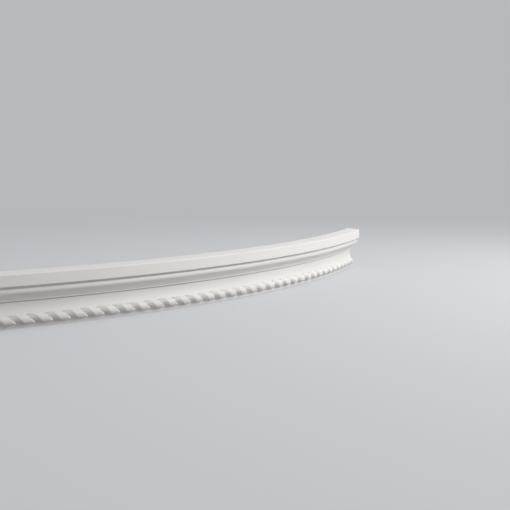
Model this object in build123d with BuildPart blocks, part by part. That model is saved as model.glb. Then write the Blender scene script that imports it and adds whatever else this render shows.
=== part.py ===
"""Flexible wall moulding, bent to a round wall: one length of stock, in millimetres.

It stands on its foot with the wall behind it (+Y) and its ornament in front (-Y).
X runs along the chord of the bend. The origin is on the foot, at mid-length.
"""

import math
import os

from build123d import *

# Stock and bend
length = 2000.0  # along the back face
wall_radius = 1000.0  # of the wall that the back is glued to
mitre_angle = 14.2  # of the +X end, off square, for an inside corner

# Section: projections are measured out from the back, heights up from the foot
height = 60.0
projection = 20.0
top_fall = 1.8  # from back to front
top_crown = 0.2
fascia_bottom = 45.7
quirk_projection = 14.4
quirk_depth = 1.9
bead_nose_projection = 16.7
bead_nose_height = 40.7
bead_bottom_projection = 14.6
bead_bottom = 37.0
soffit_end_projection = 6.7
soffit_end = 30.0
soffit_sag = 0.6
step_height = 1.3
reveal_projection = 3.7  # of the narrow recess between the step and the cove
reveal_height = 1.0
cove_projection = 5.2
cove_sag = 1.2
foot_projection = 3.6

# Rope: angles are measured round its axis, from its top towards the front
rope_axis_projection = 4.1
rope_axis_height = 9.4
rope_radius = 5.8
rope_top_angle = 27.0  # where the cove meets it
rope_bottom_angle = 150.0  # where its underside begins
rope_pitch = 20.75  # from strand to strand
rope_lay = 31.0  # advance of a strand in a full turn
groove_depth = 3.3
groove_overlap = 0.8  # of each groove past the ridge of the strand beside it
groove_runout = 3.0  # degrees past the rope's round at top and bottom
groove_clear = 0.3
ridge_place = 0.43  # of a strand's ridge, in pitches towards +X from its groove
ridge_drop = 0.12  # of the ridge, below the rope's round
shoulder_width = 0.07  # of a strand's steep +X side, in pitches
shoulder_drop = 0.45  # of that side's top, below the rope's round
last_groove = 0.82  # its place, in pitches short of the mitred end

# Derived
sweep_angle = math.degrees(length / wall_radius)
start_angle = -90 - sweep_angle / 2
end_angle = -90 + sweep_angle / 2
bend_centre = wall_radius + foot_projection / 2
step_bottom = soffit_end - step_height
cove_top = step_bottom - reveal_height
pitch_angle = math.degrees(
    rope_pitch / (wall_radius + rope_axis_projection + rope_radius)
)
groove_count = int(sweep_angle / pitch_angle) + 3
groove_start = rope_top_angle - groove_runout
groove_turn = rope_bottom_angle + groove_runout - groove_start
scoop = rope_pitch * ridge_place * (groove_depth + groove_clear) / groove_depth
crown = rope_pitch * (1 - ridge_place) + groove_overlap
shoulder = rope_pitch * shoulder_width

os.makedirs("parts", exist_ok=True)


def out(projection, level):
    """A section point, at its radius from the axis of the bend and its height."""
    return (wall_radius + projection, level)


def on_rope(angle):
    """A section point on the rope's round."""
    turn = math.radians(angle)
    return out(
        rope_axis_projection + rope_radius * math.sin(turn),
        rope_axis_height + rope_radius * math.cos(turn),
    )


def upright(angle):
    """An upright plane through the axis of the bend: X is the radius, Y the height."""
    turn = math.radians(angle)
    return Plane(
        origin=(0, 0, 0),
        x_dir=(math.cos(turn), math.sin(turn), 0),
        z_dir=(math.sin(turn), -math.cos(turn), 0),
    )


# The stock is modelled about the vertical axis of the bend, and moved at the end
with BuildPart() as stock:
    with BuildSketch(upright(start_angle)):
        with BuildLine():
            # Rope's underside, foot and back
            underside = on_rope(rope_bottom_angle)
            Polyline(
                underside,
                out(foot_projection, underside[1]),
                out(foot_projection, 0),
                out(0, 0),
                out(0, height),
            )
            # Top, falling to the front with a slight crown
            ThreePointArc(
                out(0, height),
                out(projection / 2, height - top_fall / 2 + top_crown),
                out(projection, height - top_fall),
            )
            # Fascia, and the quirk under it
            Polyline(
                out(projection, height - top_fall),
                out(projection, fascia_bottom),
                out(quirk_projection, fascia_bottom),
                out(quirk_projection, fascia_bottom - quirk_depth),
            )
            # Round bead
            ThreePointArc(
                out(quirk_projection, fascia_bottom - quirk_depth),
                out(bead_nose_projection, bead_nose_height),
                out(bead_bottom_projection, bead_bottom),
            )
            # Hollow soffit, falling back to a small step with a reveal under it
            ThreePointArc(
                out(bead_bottom_projection, bead_bottom),
                out(
                    (bead_bottom_projection + soffit_end_projection - soffit_sag) / 2,
                    (bead_bottom + soffit_end + soffit_sag) / 2,
                ),
                out(soffit_end_projection, soffit_end),
            )
            Polyline(
                out(soffit_end_projection, soffit_end),
                out(soffit_end_projection, step_bottom),
                out(reveal_projection, step_bottom),
                out(reveal_projection, cove_top),
                out(cove_projection, cove_top),
            )
            # Cove, flaring out to the rope
            cove_end = on_rope(rope_top_angle)
            cove_middle = (
                (wall_radius + cove_projection + cove_end[0]) / 2 - cove_sag,
                (cove_top + cove_end[1]) / 2,
            )
            ThreePointArc(out(cove_projection, cove_top), cove_middle, cove_end)
            # Rope, still plain
            ThreePointArc(
                cove_end,
                on_rope((rope_top_angle + rope_bottom_angle) / 2),
                underside,
            )
        make_face()
    revolve(axis=Axis.Z, revolution_arc=sweep_angle)

# One groove of the rope, as a cutter that screws round local Z, the rope's axis.
# Its section is the valley between two strands: the steep shoulder and the crown of the one
# on its -Z side, and the scooped flank of the one on its +Z side.
with BuildPart() as groove:
    with BuildLine() as lay:
        Helix(
            pitch=rope_lay,
            height=rope_lay * groove_turn / 360,
            radius=rope_radius,
        )
    with BuildSketch(Plane.XZ):
        with BuildLine():
            Polyline(
                (rope_radius - groove_depth, 0),
                (rope_radius + groove_clear, scoop),
                (rope_radius + groove_clear, -crown),
                (rope_radius - ridge_drop, -crown),
                (rope_radius - shoulder_drop, -shoulder),
                close=True,
            )
        make_face()
    sweep(path=lay.wires()[0], is_frenet=True)

# The first groove's seat is just past the mitred end, and the pattern runs back from there
first = upright(end_angle + (1 - last_groove) * pitch_angle)
along = -first.z_dir
lead = rope_lay * (90 - groove_start) / 360
rope_centre = first.from_local_coords(out(rope_axis_projection, rope_axis_height))
seat = Plane(
    origin=rope_centre - along * lead,
    x_dir=first.x_dir.rotate(Axis((0, 0, 0), along), groove_start - 90),
    z_dir=along,
)
cutter = groove.part.moved(seat.location)

with stock:
    with PolarLocations(0, groove_count, angular_range=-groove_count * pitch_angle):
        add(cutter, mode=Mode.SUBTRACT)
    # Mitre: an upright cut from the back edge of the +X end, shorter in front
    end = upright(end_angle)
    mitre = Plane(
        origin=end.from_local_coords(out(0, 0)),
        z_dir=(-end.z_dir).rotate(Axis.Z, -mitre_angle),
    )
    split(bisect_by=mitre, keep=Keep.BOTTOM)

moulding = stock.part.moved(Location((0, bend_centre, 0)))
moulding.label = "flexible_moulding"
export_step(moulding, "parts/flexible_moulding.step")
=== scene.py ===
"""Flexible wall moulding bent to a round wall: the dressed model, its studio and its camera.

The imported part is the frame. Its one node is replaced by a finer mesh of the same length, with
smooth strands on the rope and small radii on the edges, finished in a matt white primer.
Sizes are in metres and angles in radians, in the frame of the part.
"""

from __future__ import annotations

import logging
import math
from collections.abc import Callable
from dataclasses import dataclass, field
from enum import Enum
from itertools import pairwise

import bpy
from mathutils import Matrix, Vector

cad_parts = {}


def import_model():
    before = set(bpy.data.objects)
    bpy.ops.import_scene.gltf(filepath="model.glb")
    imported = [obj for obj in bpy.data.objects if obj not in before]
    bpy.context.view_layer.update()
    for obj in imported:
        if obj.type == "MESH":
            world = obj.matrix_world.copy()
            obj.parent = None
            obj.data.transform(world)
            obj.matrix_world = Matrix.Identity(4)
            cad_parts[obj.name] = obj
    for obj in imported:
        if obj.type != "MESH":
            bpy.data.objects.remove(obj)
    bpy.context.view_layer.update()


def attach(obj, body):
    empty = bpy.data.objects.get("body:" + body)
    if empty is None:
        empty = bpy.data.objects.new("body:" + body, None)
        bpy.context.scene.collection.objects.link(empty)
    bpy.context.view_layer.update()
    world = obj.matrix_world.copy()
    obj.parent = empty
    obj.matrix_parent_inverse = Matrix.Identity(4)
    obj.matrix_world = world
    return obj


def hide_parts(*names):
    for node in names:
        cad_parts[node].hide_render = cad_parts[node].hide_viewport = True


LOG = logging.getLogger("flexible_moulding")
NODE = "flexible_moulding"

Point = tuple[float, float]
Range = tuple[float, float]
Triple = tuple[float, float, float]
Colour = tuple[float, float, float]


def mm(value: float) -> float:
    """Millimetres as metres."""
    return value / 1000


NEAR = mm(0.01)  # a vertex closer than this to a place stands at it


def opaque(colour: Colour) -> tuple[float, float, float, float]:
    """The colour with full alpha, as colour sockets take it."""
    return (*colour, 1.0)


def smoothstep(value: float) -> float:
    """An eased 0 to 1 for a value that runs from 0 to 1."""
    share = min(max(value, 0.0), 1.0)
    return share * share * (3 - 2 * share)


def arc_through(start: Point, middle: Point, end: Point, steps: int) -> list[Point]:
    """Divides the arc through three points.

    Args:
        start: Where the arc begins.
        middle: A point that it passes.
        end: Where it ends, less than half a turn on.
        steps: How many chords the arc is divided into.

    Returns:
        The points after the start, the end among them.
    """
    (ax, ay), (bx, by), (cx, cy) = start, middle, end
    twice_area = 2 * (ax * (by - cy) + bx * (cy - ay) + cx * (ay - by))
    a2, b2, c2 = ax * ax + ay * ay, bx * bx + by * by, cx * cx + cy * cy
    ox = (a2 * (by - cy) + b2 * (cy - ay) + c2 * (ay - by)) / twice_area
    oy = (a2 * (cx - bx) + b2 * (ax - cx) + c2 * (bx - ax)) / twice_area
    radius = math.hypot(ax - ox, ay - oy)
    first = math.atan2(ay - oy, ax - ox)
    last = math.atan2(cy - oy, cx - ox)
    sweep = (last - first + math.pi) % math.tau - math.pi
    turns = [first + sweep * step / steps for step in range(1, steps + 1)]
    return [(ox + radius * math.cos(t), oy + radius * math.sin(t)) for t in turns]


class EndCut(Enum):
    """How an end of the length is sawn."""

    SQUARE = "square"
    MITRE = "mitre"


class Coat(Enum):
    """What a face of the piece shows, by its place in the piece's list of materials."""

    PRIMER = 0
    CORE = 1


@dataclass(frozen=True)
class Station:
    """A point of the traced line: out from the back, up from the foot, and along the bend."""

    projection: float
    height: float
    slide: float


@dataclass(frozen=True)
class Bend:
    """The bend of the length round an upright axis behind it.

    Attributes:
        wall_radius: Radius of the back face.
        centre_y: How far behind the origin the axis stands.
        length: Along the back face.
        mitre: How far the mitred end is turned off square.
    """

    wall_radius: float = 1.0
    centre_y: float = 1.0018
    length: float = 2.0
    mitre: float = math.radians(14.2)

    @property
    def centre(self) -> Vector:
        """A point on the axis of the bend, at floor level."""
        return Vector((0, self.centre_y, 0))

    @property
    def start(self) -> float:
        """The angle of the square end."""
        return -math.pi / 2 - self.length / self.wall_radius / 2

    @property
    def end(self) -> float:
        """The angle of the mitred end, at the back."""
        return -math.pi / 2 + self.length / self.wall_radius / 2

    def place(self, projection: float, height: float, angle: float) -> Vector:
        """A point in the frame of the part.

        Args:
            projection: Distance out from the back face.
            height: Height over the foot.
            angle: Angle round the axis of the bend.

        Returns:
            The place in the frame.
        """
        radius = self.wall_radius + projection
        return self.centre + Vector(
            (radius * math.cos(angle), radius * math.sin(angle), height)
        )

    def unbend(self, place: Vector) -> Triple:
        """Undoes the bend for a point.

        Args:
            place: The place in the frame.

        Returns:
            Its projection, height and angle.
        """
        offset = place - self.centre
        radius = math.hypot(offset.x, offset.y)
        return radius - self.wall_radius, offset.z, math.atan2(offset.y, offset.x)

    def cut(self, end: EndCut) -> tuple[Vector, Vector]:
        """The plane of an end.

        Args:
            end: Which end.

        Returns:
            A point on the plane, and its normal, which points off the length.
        """
        square = end is EndCut.SQUARE
        angle = self.start if square else self.end
        facing = angle - math.pi / 2 if square else angle + math.pi / 2 - self.mitre
        normal = Vector((math.cos(facing), math.sin(facing), 0))
        return self.place(0, 0, angle), normal


@dataclass(frozen=True)
class Rope:
    """The twisted rope along the foot. Turns are measured from its top towards the front.

    Attributes:
        top: The turn where the cove meets it.
        bottom: The turn where its underside begins.
        pitch: From strand to strand.
        lay: Advance of a strand in a full turn.
        groove_run_in: The turn over which a groove reaches its depth.
        ridge_place: Where a strand is highest, as a share of its width.
        shoulder_place: Where its steep +X side begins, as a share of its width.
        shoulder_drop: How low that side begins, as a share of the groove's depth.
        last_groove: Its place, in pitches short of the mitred end.
        rows: Rows of vertices round the rope.
    """

    axis_projection: float = mm(4.1)
    axis_height: float = mm(9.4)
    radius: float = mm(5.8)
    top: float = math.radians(27)
    bottom: float = math.radians(150)
    pitch: float = mm(20.75)
    lay: float = mm(31)
    groove_depth: float = mm(3.3)
    groove_run_in: float = math.radians(4)
    ridge_place: float = 6 / 14
    shoulder_place: float = 13 / 14
    shoulder_drop: float = 0.14
    last_groove: float = 0.82
    rows: int = 14
    round_tolerance: float = mm(0.02)
    turn_tolerance: float = 0.01

    def point(self, turn: float) -> Point:
        """A section point on the rope's round."""
        return (
            self.axis_projection + self.radius * math.sin(turn),
            self.axis_height + self.radius * math.cos(turn),
        )

    def slide(self, turn: float) -> float:
        """How far along the bend a groove has gone at a turn, from where it passes the front."""
        return self.lay * (turn - math.pi / 2) / math.tau

    def turn_at(self, projection: float, height: float) -> float | None:
        """The turn of a section point.

        Args:
            projection: Distance out from the back face.
            height: Height over the foot.

        Returns:
            The turn, or None for a point that isn't on the rope's round.
        """
        out, up = projection - self.axis_projection, height - self.axis_height
        turn = math.atan2(out, up)
        on_round = abs(math.hypot(out, up) - self.radius) < self.round_tolerance
        within = self.top < turn < self.bottom + self.turn_tolerance
        return turn if on_round and within else None

    def valley(self, phase: float, turn: float) -> float:
        """How deep the groove is beside a strand.

        Args:
            phase: Place across the strand, from the groove on its -X side (0) to the next (1).
            turn: Place round the rope.

        Returns:
            A share of the groove's depth.
        """
        if phase < self.ridge_place:
            across = min(1 - phase / self.ridge_place, 1)
        elif phase < self.shoulder_place:
            crown = self.shoulder_place - self.ridge_place
            across = self.shoulder_drop * ((phase - self.ridge_place) / crown) ** 2
        else:
            shoulder = 1 - self.shoulder_place
            past = min((phase - self.shoulder_place) / shoulder, 1)
            across = self.shoulder_drop + (1 - self.shoulder_drop) * past
        return across * smoothstep((turn - self.top) / self.groove_run_in)

    def turns(self) -> list[float]:
        """Spaces the rows of vertices.

        Returns:
            Their turns, from the first below the cove to the underside.
        """
        first = self.top + self.groove_run_in
        step = (self.bottom - first) / (self.rows - 1)
        return [first + step * row for row in range(self.rows)]


@dataclass(frozen=True)
class Section:
    """The section of the moulding. Projections run out from the back, heights up from the foot."""

    height: float = mm(60)
    projection: float = mm(20)
    top_fall: float = mm(1.8)
    top_crown: float = mm(0.2)
    fascia_bottom: float = mm(45.7)
    quirk_projection: float = mm(14.4)
    quirk_depth: float = mm(1.9)
    bead_nose: Point = (mm(16.7), mm(40.7))
    bead_bottom: Point = (mm(14.6), mm(37.0))
    soffit_end: Point = (mm(6.7), mm(30.0))
    soffit_sag: float = mm(0.6)
    step_height: float = mm(1.3)
    reveal_projection: float = mm(3.7)
    reveal_height: float = mm(1.0)
    cove_projection: float = mm(5.2)
    cove_sag: float = mm(1.2)
    foot_projection: float = mm(3.6)
    rope: Rope = field(default_factory=Rope)
    fascia_top_radius: float = mm(0.7)
    fascia_bottom_radius: float = mm(0.5)
    step_radius: float = mm(0.25)
    back_radius: float = mm(0.3)
    foot_radius: float = mm(0.4)
    top_rows: int = 4
    bead_rows: int = 10
    soffit_rows: int = 5
    cove_rows: int = 7

    @property
    def fascia_top(self) -> Point:
        """The upper front edge."""
        return (self.projection, self.height - self.top_fall)

    @property
    def step_foot(self) -> Point:
        """The lower edge of the step under the soffit."""
        return (self.soffit_end[0], self.soffit_end[1] - self.step_height)

    def plain(self) -> list[Point]:
        """Runs round the section above the rope.

        Returns:
            The points from the back's lower edge to where the cove meets the rope.
        """
        crown = (self.projection / 2, self.height - self.top_fall / 2 + self.top_crown)
        quirk_foot = (self.quirk_projection, self.fascia_bottom - self.quirk_depth)
        soffit_middle = (
            (self.bead_bottom[0] + self.soffit_end[0] - self.soffit_sag) / 2,
            (self.bead_bottom[1] + self.soffit_end[1] + self.soffit_sag) / 2,
        )
        cove_top = (self.cove_projection, self.step_foot[1] - self.reveal_height)
        cove_foot = self.rope.point(self.rope.top)
        cove_middle = (
            (cove_top[0] + cove_foot[0]) / 2 - self.cove_sag,
            (cove_top[1] + cove_foot[1]) / 2,
        )
        back_top = (0.0, self.height)
        points = [(0.0, 0.0), back_top]
        points += arc_through(back_top, crown, self.fascia_top, self.top_rows)
        points += [(self.projection, self.fascia_bottom)]
        points += [(self.quirk_projection, self.fascia_bottom), quirk_foot]
        points += arc_through(
            quirk_foot, self.bead_nose, self.bead_bottom, self.bead_rows
        )
        points += arc_through(
            self.bead_bottom, soffit_middle, self.soffit_end, self.soffit_rows
        )
        points += [self.step_foot, (self.reveal_projection, self.step_foot[1])]
        points += [(self.reveal_projection, cove_top[1]), cove_top]
        points += arc_through(cove_top, cove_middle, cove_foot, self.cove_rows)
        return points

    def stations(self) -> list[Station]:
        """Runs round the whole section along a groove.

        Returns:
            The stations of the line, in order from the back's lower edge.
        """
        rope = self.rope
        above, below = rope.slide(rope.top), rope.slide(rope.bottom)
        back, *front = self.plain()
        line = [Station(*back, below)]
        line += [Station(*point, above) for point in front]
        line += [Station(*rope.point(t), rope.slide(t)) for t in rope.turns()]
        underside = rope.point(rope.bottom)[1]
        line += [
            Station(self.foot_projection, underside, below),
            Station(self.foot_projection, 0.0, below),
        ]
        return line

    def soft_edges(self) -> list[tuple[Point, float]]:
        """Lists the edges that the mould leaves round.

        Returns:
            Each edge's section point, with its radius.
        """
        return [
            (self.fascia_top, self.fascia_top_radius),
            ((self.projection, self.fascia_bottom), self.fascia_bottom_radius),
            (self.step_foot, self.step_radius),
            ((0.0, self.height), self.back_radius),
            ((self.foot_projection, 0.0), self.foot_radius),
        ]


class Bench:
    """Blender's modelling operators, as they are used on one piece."""

    def __init__(self, piece: bpy.types.Object) -> None:
        """Takes up the piece."""
        self.piece = piece

    @staticmethod
    def clear() -> None:
        """Leaves nothing selected."""
        bpy.ops.object.select_all(action="DESELECT")

    def edit(self, everything: bool = True) -> None:
        """Goes into edit mode.

        Args:
            everything: Whether all of the piece is selected there, or nothing.
        """
        bpy.context.view_layer.objects.active = self.piece
        bpy.ops.object.mode_set(mode="EDIT")
        bpy.ops.mesh.select_mode(type="VERT")
        bpy.ops.mesh.select_all(action="SELECT" if everything else "DESELECT")

    @staticmethod
    def done() -> None:
        """Goes back to object mode."""
        bpy.ops.object.mode_set(mode="OBJECT")

    def edit_where(self, chosen: Callable[[Vector], bool]) -> None:
        """Goes into edit mode with some vertices selected.

        Args:
            chosen: Says of a vertex's place whether it is selected.
        """
        self.edit(everything=False)
        self.done()
        for vertex in self.piece.data.vertices:
            if chosen(vertex.co):
                vertex.select = True
        bpy.ops.object.mode_set(mode="EDIT")


@dataclass(frozen=True)
class MouldingLength:
    """The length of moulding, from one traced groove line to the two sawn ends.

    Attributes:
        section: The section, with its rope.
        bend: The bend and the ends.
        columns: Columns of faces across a strand.
        spare_strands: Strands past each end, which the saw takes off.
        edge_segments: Segments of a rounded edge.
        smooth_below: The angle between faces up to which they are shaded as one.
        weld: How near two vertices are that become one.
        ridge_tolerance: How near the ridge a vertex on it is, as a share of a strand.
        facing: How well a cut face agrees with the plane of the cut.
    """

    section: Section = field(default_factory=Section)
    bend: Bend = field(default_factory=Bend)
    name: str = "moulding_length"
    columns: int = 14
    spare_strands: int = 2
    edge_segments: int = 3
    smooth_below: float = math.radians(32)
    weld: float = mm(0.005)
    ridge_tolerance: float = 0.01
    facing: float = 0.999

    @property
    def rope(self) -> Rope:
        """The rope of the section."""
        return self.section.rope

    @property
    def reach(self) -> float:
        """The radius of the bend at the front of the rope."""
        return self.bend.wall_radius + self.rope.axis_projection + self.rope.radius

    @property
    def strand_angle(self) -> float:
        """The angle of the bend that a strand takes up."""
        return self.rope.pitch / self.reach

    @property
    def first_angle(self) -> float:
        """The angle at which the traced groove passes the front, past the mitred end."""
        past_end = self.spare_strands - self.rope.last_groove
        return self.bend.end + past_end * self.strand_angle

    @property
    def strands(self) -> int:
        """How many strands are made, the spare ones among them."""
        span = self.first_angle - self.bend.start
        return math.ceil(span / self.strand_angle) + self.spare_strands

    def build(self) -> bpy.types.Object:
        """Models the piece.

        Returns:
            The finished object, at the origin.
        """
        bench = self._trace_groove_line()
        self._soften_edges(bench)
        self._spin_strand(bench)
        self._mark_valleys(bench)
        self._crease_ridge(bench)
        self._repeat_strand(bench)
        self._press_valleys(bench)
        for end in EndCut:
            self._saw(bench, end)
        self._shade(bench)
        self._dress(bench)
        return bench.piece

    def _place(self, station: Station) -> Vector:
        """The place of a station on the first groove line."""
        angle = self.first_angle + station.slide / self.reach
        return self.bend.place(station.projection, station.height, angle)

    def _trace_groove_line(self) -> Bench:
        """Extrudes one vertex round the section, following the lay of the rope.

        Returns:
            The bench with the closed line on it.
        """
        line = [self._place(station) for station in self.section.stations()]
        Bench.clear()
        bpy.ops.mesh.primitive_plane_add(size=mm(1), location=(0, 0, 0))
        piece = bpy.context.object
        piece.name = self.name
        piece.data.name = self.name
        bench = Bench(piece)
        bench.edit()
        bpy.ops.mesh.merge(type="CENTER")
        bpy.ops.transform.translate(value=line[0])
        for here, there in pairwise(line):
            bpy.ops.mesh.extrude_region_move(
                TRANSFORM_OT_translate={"value": there - here}
            )
        bench.done()
        ends = (line[0], line[-1])
        bench.edit_where(lambda co: min((co - e).length for e in ends) < NEAR)
        bpy.ops.mesh.edge_face_add()
        bench.done()
        return bench

    def _soften_edges(self, bench: Bench) -> None:
        """Rounds the corners of the line that the mould leaves soft."""
        for corner, radius in self.section.soft_edges():

            def at_corner(co: Vector, corner: Point = corner) -> bool:
                """Whether a vertex stands at the corner."""
                projection, height, _ = self.bend.unbend(co)
                return math.dist((projection, height), corner) < NEAR

            bench.edit_where(at_corner)
            bpy.ops.mesh.bevel(
                offset=radius, segments=self.edge_segments, affect="VERTICES"
            )
            bench.done()

    def _spin_strand(self, bench: Bench) -> None:
        """Spins the line over one strand of the rope."""
        bench.edit()
        bpy.ops.mesh.spin(
            steps=self.columns,
            angle=self.strand_angle,
            center=self.bend.centre,
            axis=(0, 0, 1),
        )
        bench.done()

    def _on_strand(self, co: Vector) -> Point | None:
        """Where a vertex is on the strand.

        Args:
            co: The vertex's place, before the grooves are pressed.

        Returns:
            Its phase across the strand and its turn, or None off the rope.
        """
        projection, height, angle = self.bend.unbend(co)
        turn = self.rope.turn_at(projection, height)
        if turn is None:
            return None
        started = self.first_angle + self.rope.slide(turn) / self.reach
        return 1 - (started - angle) / self.strand_angle, turn

    def _mark_valleys(self, bench: Bench) -> None:
        """Weighs each vertex of the strand by how deep the groove is there."""
        group = bench.piece.vertex_groups.new(name="valley")
        for vertex in bench.piece.data.vertices:
            spot = self._on_strand(vertex.co)
            if spot:
                group.add([vertex.index], self.rope.valley(*spot), "REPLACE")

    def _crease_ridge(self, bench: Bench) -> None:
        """Keeps the strand's ridge crisp."""

        def on_ridge(co: Vector) -> bool:
            """Whether a vertex stands on the ridge."""
            spot = self._on_strand(co)
            if spot is None:
                return False
            return abs(spot[0] - self.rope.ridge_place) < self.ridge_tolerance

        bench.edit_where(on_ridge)
        bpy.ops.mesh.mark_sharp()
        bench.done()

    def _repeat_strand(self, bench: Bench) -> None:
        """Copies the strand round the bend and welds the copies."""
        bench.edit()
        bpy.ops.mesh.spin(
            steps=self.strands - 1,
            dupli=True,
            angle=self.strand_angle * (self.strands - 1),
            center=self.bend.centre,
            axis=(0, 0, 1),
        )
        bpy.ops.mesh.select_all(action="SELECT")
        bpy.ops.mesh.remove_doubles(threshold=self.weld)
        bpy.ops.mesh.normals_make_consistent(inside=False)
        bench.done()

    def _press_valleys(self, bench: Bench) -> None:
        """Presses the grooves into the rope by their weights."""
        press = bench.piece.modifiers.new("press_valleys", "DISPLACE")
        press.direction = "NORMAL"
        press.mid_level = 0
        press.strength = -self.rope.groove_depth
        press.vertex_group = "valley"
        bpy.context.view_layer.objects.active = bench.piece
        bpy.ops.object.modifier_apply(modifier=press.name)
        bench.piece.vertex_groups.clear()

    def _saw(self, bench: Bench, end: EndCut) -> None:
        """Cuts an end and closes it, with the core's material on the cut."""
        point, normal = self.bend.cut(end)
        bench.edit()
        bpy.ops.mesh.bisect(
            plane_co=point, plane_no=normal, use_fill=True, clear_outer=True
        )
        bench.done()
        for face in bench.piece.data.polygons:
            on_plane = abs((face.center - point).dot(normal)) < NEAR
            if on_plane and abs(face.normal.dot(normal)) > self.facing:
                face.material_index = Coat.CORE.value

    def _shade(self, bench: Bench) -> None:
        """Shades the rounds smooth, and keeps the broad flats flat beside them."""
        bench.clear()
        bench.piece.select_set(True)
        bpy.context.view_layer.objects.active = bench.piece
        bpy.ops.object.shade_smooth_by_angle(angle=self.smooth_below)
        weigh = bench.piece.modifiers.new("weigh_normals", "WEIGHTED_NORMAL")
        weigh.keep_sharp = True
        bpy.ops.object.modifier_apply(modifier=weigh.name)

    def _dress(self, bench: Bench) -> None:
        """Gives the piece its primer, and the bare core for its cuts."""
        finishes = {Coat.PRIMER: PrimerWhite(), Coat.CORE: SawnCore()}
        for coat in Coat:
            bench.piece.data.materials.append(finishes[coat].material())


class NodeTree:
    """A node tree that is put together node by node."""

    def __init__(self, tree: bpy.types.NodeTree) -> None:
        """Takes up the tree."""
        self.tree = tree

    def add(self, kind: str, **values: object) -> bpy.types.Node:
        """Adds a node.

        Args:
            kind: The node's type name.
            values: Properties by name, or inputs by their names with spaces as underscores.

        Returns:
            The node.
        """
        node = self.tree.nodes.new(kind)
        for name, value in values.items():
            if hasattr(node, name):
                setattr(node, name, value)
            else:
                node.inputs[name.replace("_", " ")].default_value = value
        return node

    def link(
        self,
        source: bpy.types.Node,
        output: str | int,
        target: bpy.types.Node,
        socket: str | int,
    ) -> None:
        """Links an output to an input."""
        self.tree.links.new(source.outputs[output], target.inputs[socket])

    def mapped(
        self, source: bpy.types.Node, output: str, low: float, high: float
    ) -> bpy.types.Node:
        """Takes an output's 0 to 1 to another range.

        Args:
            source: The node with the output.
            output: The output's name.
            low: What 0 becomes.
            high: What 1 becomes.

        Returns:
            The Map Range node, with the output Result.
        """
        node = self.add("ShaderNodeMapRange", To_Min=low, To_Max=high)
        self.link(source, output, node, "Value")
        return node

    def blended(
        self,
        source: bpy.types.Node,
        output: str | int,
        low: Colour | bpy.types.NodeSocket,
        high: Colour,
    ) -> bpy.types.NodeSocket:
        """Mixes two colours by an output.

        Args:
            source: The node with the output.
            output: The output's name or place.
            low: The colour, or the output of one, for 0.
            high: The colour for 1.

        Returns:
            The output with the mixed colour.
        """
        node = self.add("ShaderNodeMix", data_type="RGBA")
        first, second = (s for s in node.inputs if s.type == "RGBA")
        if isinstance(low, bpy.types.NodeSocket):
            self.tree.links.new(low, first)
        else:
            first.default_value = opaque(low)
        second.default_value = opaque(high)
        self.link(source, output, node, "Factor")
        return next(s for s in node.outputs if s.type == "RGBA")

    def seen(self) -> bpy.types.Node:
        """Tells what is looked at from what only lights or is lit.

        Returns:
            A node that is 1 for a straight, mirrored or transmitted look, and else 0.
        """
        path = self.add("ShaderNodeLightPath")
        straight = self.add("ShaderNodeMath", operation="ADD")
        self.link(path, "Is Camera Ray", straight, 0)
        self.link(path, "Is Glossy Ray", straight, 1)
        node = self.add("ShaderNodeMath", operation="ADD", use_clamp=True)
        self.link(straight, 0, node, 0)
        self.link(path, "Is Transmission Ray", node, 1)
        return node


class GrainGroup:
    """The node group of a cast surface: slow cloudiness of tone, and a fine uneven skin."""

    name = "cast_grain"
    noise_detail = {"Cloud": 4.0, "Peel": 1.0, "Grain": 2.0}
    grain_share = 0.3

    @classmethod
    def tree(cls) -> bpy.types.NodeTree:
        """The group, built when it is first asked for."""
        found = bpy.data.node_groups.get(cls.name)
        return found if found else cls._build()

    @classmethod
    def _build(cls) -> bpy.types.NodeTree:
        """Builds the group.

        Returns:
            The group's tree, with the inputs Vector, Cloud Scale, Peel Scale and Grain Scale
            and the outputs Tone and Height.
        """
        group = bpy.data.node_groups.new(cls.name, "ShaderNodeTree")
        face = group.interface
        face.new_socket("Vector", in_out="INPUT", socket_type="NodeSocketVector")
        for name in cls.noise_detail:
            face.new_socket(
                f"{name} Scale", in_out="INPUT", socket_type="NodeSocketFloat"
            )
        for name in ("Tone", "Height"):
            face.new_socket(name, in_out="OUTPUT", socket_type="NodeSocketFloat")
        nodes = NodeTree(group)
        inlet = nodes.add("NodeGroupInput")
        outlet = nodes.add("NodeGroupOutput")
        noises = {}
        for name, detail in cls.noise_detail.items():
            noise = nodes.add("ShaderNodeTexNoise", Detail=detail)
            nodes.link(inlet, "Vector", noise, "Vector")
            nodes.link(inlet, f"{name} Scale", noise, "Scale")
            noises[name] = noise
        grain = nodes.add("ShaderNodeMath", operation="MULTIPLY")
        grain.inputs[1].default_value = cls.grain_share
        nodes.link(noises["Grain"], 0, grain, 0)
        height = nodes.add("ShaderNodeMath", operation="ADD")
        nodes.link(noises["Peel"], 0, height, 0)
        nodes.link(grain, 0, height, 1)
        nodes.link(noises["Cloud"], 0, outlet, "Tone")
        nodes.link(height, 0, outlet, "Height")
        return group


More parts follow.
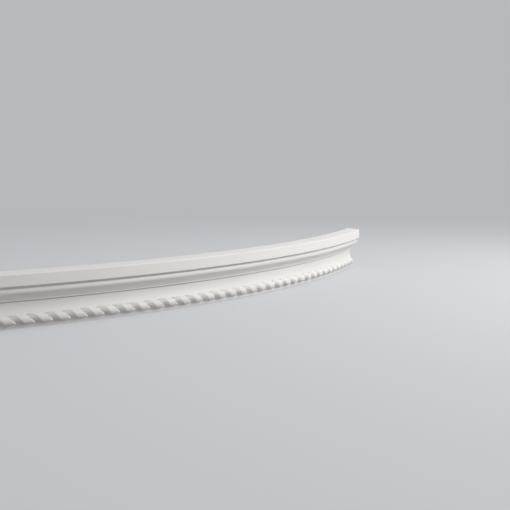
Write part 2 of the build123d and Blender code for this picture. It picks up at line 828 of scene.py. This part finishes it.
@dataclass(frozen=True)
class CastFinish:
    """A finish on the grain of a cast surface, with its own tones, gloss and skin."""

    name: str
    low: Colour
    high: Colour
    roughness: Range
    cloud_scale: float
    peel_scale: float
    grain_scale: float
    bump: float
    bump_height: float

    def material(self) -> bpy.types.Material:
        """Builds the material.

        Returns:
            The material, on Object coordinates.
        """
        material = bpy.data.materials.new(self.name)
        material.use_nodes = True
        nodes = NodeTree(material.node_tree)
        shader = material.node_tree.nodes["Principled BSDF"]
        where = nodes.add("ShaderNodeTexCoord")
        grain = nodes.add(
            "ShaderNodeGroup",
            node_tree=GrainGroup.tree(),
            Cloud_Scale=self.cloud_scale,
            Peel_Scale=self.peel_scale,
            Grain_Scale=self.grain_scale,
        )
        nodes.link(where, "Object", grain, "Vector")
        tone = self._tone(nodes, where, grain)
        nodes.tree.links.new(tone, shader.inputs["Base Color"])
        rough = nodes.mapped(grain, "Tone", *self.roughness)
        nodes.link(rough, "Result", shader, "Roughness")
        bump = nodes.add(
            "ShaderNodeBump", Strength=self.bump, Distance=self.bump_height
        )
        height = self._height(nodes, where, grain)
        nodes.tree.links.new(height, bump.inputs["Height"])
        nodes.link(bump, "Normal", shader, "Normal")
        return material

    def _tone(
        self, nodes: NodeTree, where: bpy.types.Node, grain: bpy.types.Node
    ) -> bpy.types.NodeSocket:
        """The output with the colour of the finish."""
        return nodes.blended(grain, "Tone", self.low, self.high)

    def _height(
        self, nodes: NodeTree, where: bpy.types.Node, grain: bpy.types.Node
    ) -> bpy.types.NodeSocket:
        """The output with the height of the skin."""
        return grain.outputs["Height"]


@dataclass(frozen=True)
class PrimerWhite(CastFinish):
    """The white primer that the moulding leaves the mould with: matt, a little uneven."""

    name: str = "white_primer"
    low: Colour = (0.824, 0.812, 0.79)
    high: Colour = (0.854, 0.842, 0.82)
    roughness: Range = (0.46, 0.60)
    cloud_scale: float = 14.0
    peel_scale: float = 420.0
    grain_scale: float = 2400.0
    bump: float = 0.10
    bump_height: float = mm(0.25)


@dataclass(frozen=True)
class SawnCore(CastFinish):
    """The bare core on a sawn end: creamier than the primer, with saw lines and small pores."""

    name: str = "sawn_core"
    low: Colour = (0.70, 0.675, 0.61)
    high: Colour = (0.80, 0.78, 0.72)
    roughness: Range = (0.72, 0.85)
    cloud_scale: float = 90.0
    peel_scale: float = 900.0
    grain_scale: float = 4000.0
    bump: float = 0.25
    bump_height: float = mm(0.2)
    pore: Colour = (0.50, 0.47, 0.40)
    pore_scale: float = 1100.0
    pore_size: float = 0.16
    saw_lines: Triple = (900.0, 900.0, 25.0)

    def _tone(
        self, nodes: NodeTree, where: bpy.types.Node, grain: bpy.types.Node
    ) -> bpy.types.NodeSocket:
        """Dots the colour of the core with pores.

        Args:
            nodes: The material's tree.
            where: The node with the coordinates.
            grain: The node of the grain.

        Returns:
            The output with the colour.
        """
        pores = nodes.add("ShaderNodeTexVoronoi", Scale=self.pore_scale)
        nodes.link(where, "Object", pores, "Vector")
        pore = nodes.add("ShaderNodeMath", operation="LESS_THAN")
        pore.inputs[1].default_value = self.pore_size
        nodes.link(pores, "Distance", pore, 0)
        plain = super()._tone(nodes, where, grain)
        return nodes.blended(pore, 0, plain, self.pore)

    def _height(
        self, nodes: NodeTree, where: bpy.types.Node, grain: bpy.types.Node
    ) -> bpy.types.NodeSocket:
        """Lays saw lines over the skin.

        Args:
            nodes: The material's tree.
            where: The node with the coordinates.
            grain: The node of the grain.

        Returns:
            The output with the height.
        """
        stretch = nodes.add("ShaderNodeMapping", Scale=self.saw_lines)
        nodes.link(where, "Object", stretch, "Vector")
        lines = nodes.add("ShaderNodeTexNoise", Scale=1.0, Detail=1.0)
        nodes.link(stretch, "Vector", lines, "Vector")
        height = nodes.add("ShaderNodeMath", operation="ADD")
        nodes.link(grain, "Height", height, 0)
        nodes.link(lines, 0, height, 1)
        return height.outputs[0]


@dataclass(frozen=True)
class StudioLamp:
    """A soft square lamp, aimed at a point."""

    name: str
    place: Triple
    aim: Triple
    size: float
    power: float

    def hang(self) -> None:
        """Adds the lamp to the scene."""
        Bench.clear()
        bpy.ops.object.light_add(type="AREA", location=self.place)
        lamp = bpy.context.object
        lamp.name = self.name
        lamp.data.shape = "SQUARE"
        lamp.data.size = self.size
        lamp.data.energy = self.power
        towards = Vector(self.aim) - Vector(self.place)
        lamp.rotation_euler = towards.to_track_quat("-Z", "Y").to_euler()


@dataclass(frozen=True)
class Studio:
    """The pale floor, the soft light and the camera.

    Attributes:
        backdrop: What is seen past the floor, and where the floor fades.
        floor_tone: The floor's colour where it is looked at.
        floor_bounce: Its colour for the light that it throws back.
        floor_glow: How much of the backdrop's tone the floor has of itself.
        fade_from: Distance from the origin at which the floor begins to fade.
        fade_to: Distance at which it is the backdrop.
        sky: Strength of the light from all round.
    """

    backdrop: Colour = (0.48, 0.485, 0.505)
    floor_tone: Colour = (0.41, 0.415, 0.432)
    floor_bounce: Colour = (0.45, 0.455, 0.465)
    floor_glow: float = 0.50
    floor_roughness: float = 0.9
    floor_specular: float = 0.1
    floor_radius: float = 14.0
    floor_sides: int = 128
    fade_from: float = 1.1
    fade_to: float = 2.4
    sky: float = 0.42
    lamps: tuple[StudioLamp, ...] = (
        StudioLamp("key", (2.2, -0.6, 1.2), (0.6, 0.1, 0.05), 1.0, 14.4),
        StudioLamp("side", (1.7, -0.2, 0.6), (0.6, 0.1, 0.05), 0.5, 4.6),
        StudioLamp("overhead", (1.3, 0.3, 1.2), (0.7, 0.2, 0.05), 0.5, 4.0),
    )
    camera_place: Triple = (0.22689, -1.04773, 0.1885)
    camera_turn: Triple = (math.radians(84.0), 0.0, math.radians(-17.139))
    lens: float = 74.15
    sensor_width: float = 36.0
    nearest: float = 0.01

    def set_up(self) -> None:
        """Builds the studio round the origin."""
        self._lay_floor()
        self._light_world()
        for lamp in self.lamps:
            lamp.hang()
        self._place_camera()
        bpy.context.scene.view_settings.view_transform = "Standard"

    def _lay_floor(self) -> None:
        """Lays a round floor that fades into the backdrop far off."""
        Bench.clear()
        bpy.ops.mesh.primitive_circle_add(
            vertices=self.floor_sides, radius=self.floor_radius, fill_type="NGON"
        )
        floor = bpy.context.object
        floor.name = "floor"
        floor.data.materials.append(self._floor_finish())

    def _floor_finish(self) -> bpy.types.Material:
        """Builds the floor's pale matt finish.

        Returns:
            The material.
        """
        material = bpy.data.materials.new("pale_floor")
        material.use_nodes = True
        nodes = NodeTree(material.node_tree)
        shader = material.node_tree.nodes["Principled BSDF"]
        shader.inputs["Roughness"].default_value = self.floor_roughness
        shader.inputs["Specular IOR Level"].default_value = self.floor_specular
        shader.inputs["Emission Color"].default_value = opaque(self.backdrop)
        seen = nodes.seen()
        tone = nodes.blended(seen, 0, self.floor_bounce, self.floor_tone)
        nodes.tree.links.new(tone, shader.inputs["Base Color"])
        glow = nodes.mapped(seen, "Value", 0.0, self.floor_glow)
        nodes.link(glow, "Result", shader, "Emission Strength")
        where = nodes.add("ShaderNodeTexCoord")
        distance = nodes.add("ShaderNodeVectorMath", operation="LENGTH")
        nodes.link(where, "Object", distance, 0)
        fade = nodes.add(
            "ShaderNodeMapRange",
            interpolation_type="SMOOTHSTEP",
            From_Min=self.fade_from,
            From_Max=self.fade_to,
        )
        nodes.link(distance, "Value", fade, "Value")
        faded = nodes.add("ShaderNodeMath", operation="MULTIPLY")
        nodes.link(fade, "Result", faded, 0)
        nodes.link(seen, 0, faded, 1)
        far = nodes.add("ShaderNodeEmission", Color=opaque(self.backdrop))
        mix = nodes.add("ShaderNodeMixShader")
        nodes.link(faded, 0, mix, 0)
        nodes.link(shader, 0, mix, 1)
        nodes.link(far, 0, mix, 2)
        nodes.link(mix, 0, material.node_tree.nodes["Material Output"], "Surface")
        return material

    def _light_world(self) -> None:
        """Gives the world a soft light, with the backdrop's colour where it is seen."""
        world = bpy.data.worlds.new("studio")
        bpy.context.scene.world = world
        world.use_nodes = True
        nodes = NodeTree(world.node_tree)
        light = world.node_tree.nodes["Background"]
        light.inputs["Color"].default_value = (1.0, 1.0, 1.0, 1.0)
        light.inputs["Strength"].default_value = self.sky
        backdrop = nodes.add("ShaderNodeBackground", Color=opaque(self.backdrop))
        mix = nodes.add("ShaderNodeMixShader")
        nodes.link(nodes.seen(), 0, mix, 0)
        nodes.link(light, 0, mix, 1)
        nodes.link(backdrop, 0, mix, 2)
        nodes.link(mix, 0, world.node_tree.nodes["World Output"], "Surface")

    def _place_camera(self) -> None:
        """Sets the camera at the photograph's viewing angle."""
        Bench.clear()
        bpy.ops.object.camera_add(location=self.camera_place, rotation=self.camera_turn)
        camera = bpy.context.object
        camera.name = "camera"
        camera.data.lens = self.lens
        camera.data.sensor_width = self.sensor_width
        camera.data.clip_start = self.nearest
        bpy.context.scene.camera = camera


def main() -> None:
    """Builds the moulding in place of its node, and the studio round it."""
    logging.basicConfig(level=logging.INFO, format="%(name)s: %(message)s")
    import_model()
    piece = MouldingLength().build()
    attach(piece, "root")
    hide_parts(NODE)
    triangles = sum(len(face.vertices) - 2 for face in piece.data.polygons)
    LOG.info("%s: %d triangles", piece.name, triangles)
    Studio().set_up()


if __name__ == "__main__":
    main()
